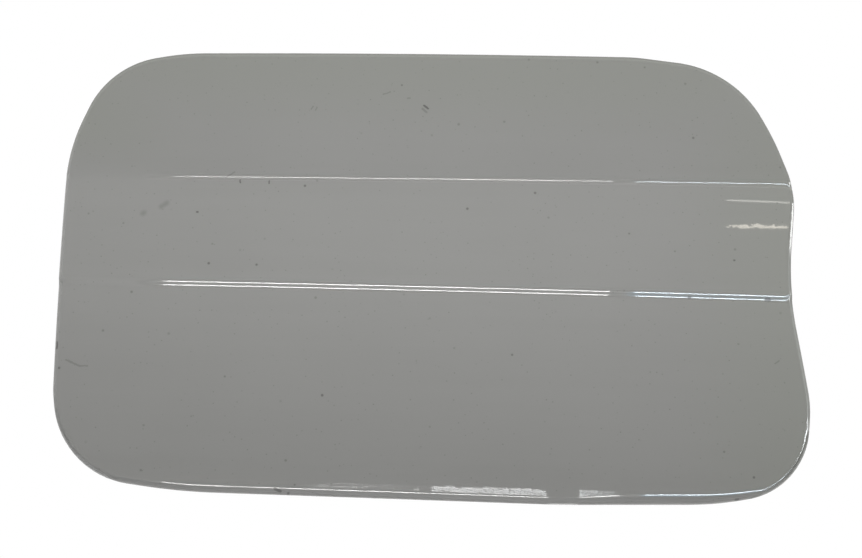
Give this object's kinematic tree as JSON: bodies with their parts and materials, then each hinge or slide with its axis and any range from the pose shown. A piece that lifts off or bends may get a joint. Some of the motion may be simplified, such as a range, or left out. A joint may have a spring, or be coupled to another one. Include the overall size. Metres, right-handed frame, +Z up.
{
  "type": "car fuel door",
  "caption": "Painted pressed-steel fuel filler door with swaged lines, hemmed edge, inner pan, sprung side hinge, latch tab, rubber stops and cap holder.",
  "frame": {"origin": "midway between the two bolt holes, on the rear face of the hinge base", "axes": "+X to the right along the lid seen from outside the car, +Y into the car, +Z up"},
  "size_m": [0.225, 0.0478, 0.1376],
  "materials": {
    "body_paint": "gloss solid grey paint under clear coat",
    "inner_paint": "thin satin grey paint",
    "base_coat": "black dip coat",
    "zinc": "zinc plated steel",
    "nylon": "natural nylon",
    "stop_rubber": "black rubber",
    "black_plastic": "grained black plastic"
  },
  "bodies": {
    "hinge_mount": {"hinge_base": "base_coat", "hinge_pin": "zinc", "pin_clip": "zinc", "lid_spring": "zinc"},
    "lid": {"outer_skin": "body_paint", "inner_panel": "inner_paint", "hinge_arm": "inner_paint", "latch_striker": "inner_paint", "pivot_bush_upper": "nylon", "pivot_bush_lower": "nylon", "bump_stop_upper": "stop_rubber", "bump_stop_lower": "stop_rubber", "cap_holder": "black_plastic"}
  },
  "joints": [
    {"name": "lid_hinge", "type": "hinge", "parent": "hinge_mount", "child": "lid", "pos_m": [-0.032, -0.022, 0], "axis": [0, 0, -1], "range_deg": [0, 95]}
  ]
}
